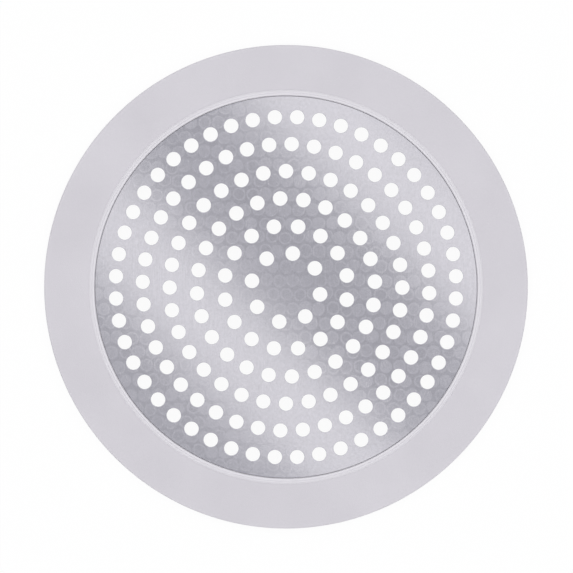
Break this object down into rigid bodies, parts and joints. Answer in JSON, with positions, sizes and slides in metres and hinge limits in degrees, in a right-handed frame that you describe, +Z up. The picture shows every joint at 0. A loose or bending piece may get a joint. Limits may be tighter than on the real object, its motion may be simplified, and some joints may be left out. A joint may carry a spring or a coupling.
{
  "type": "sink strainer",
  "caption": "Round sink strainer: a soft flat silicone flange and a hard seat ring carry a shallow perforated steel dome that lifts out for cleaning.",
  "frame": {"origin": "centre of the underside, on the flat surface that the soft flange lies on", "axes": "+Z up along the axis of the round cover, +X towards the right and +Y towards the top of the picture, which looks straight down"},
  "size_m": [0.146, 0.146, 0.0069],
  "materials": {
    "silicone": "soft matt silicone, pale grey",
    "ring_plastic": "satin moulded plastic, a little paler than the flange",
    "steel": "finely brushed stainless steel with a faint pattern of small circles"
  },
  "bodies": {
    "rim": {"silicone_rim": "silicone", "seat_ring": "ring_plastic"},
    "strainer": {"strainer_dome": "steel"}
  },
  "joints": [
    {"name": "dome_lift", "type": "slide", "parent": "rim", "child": "strainer", "axis": [0, 0, 1], "range_m": [0, 0.03]}
  ]
}
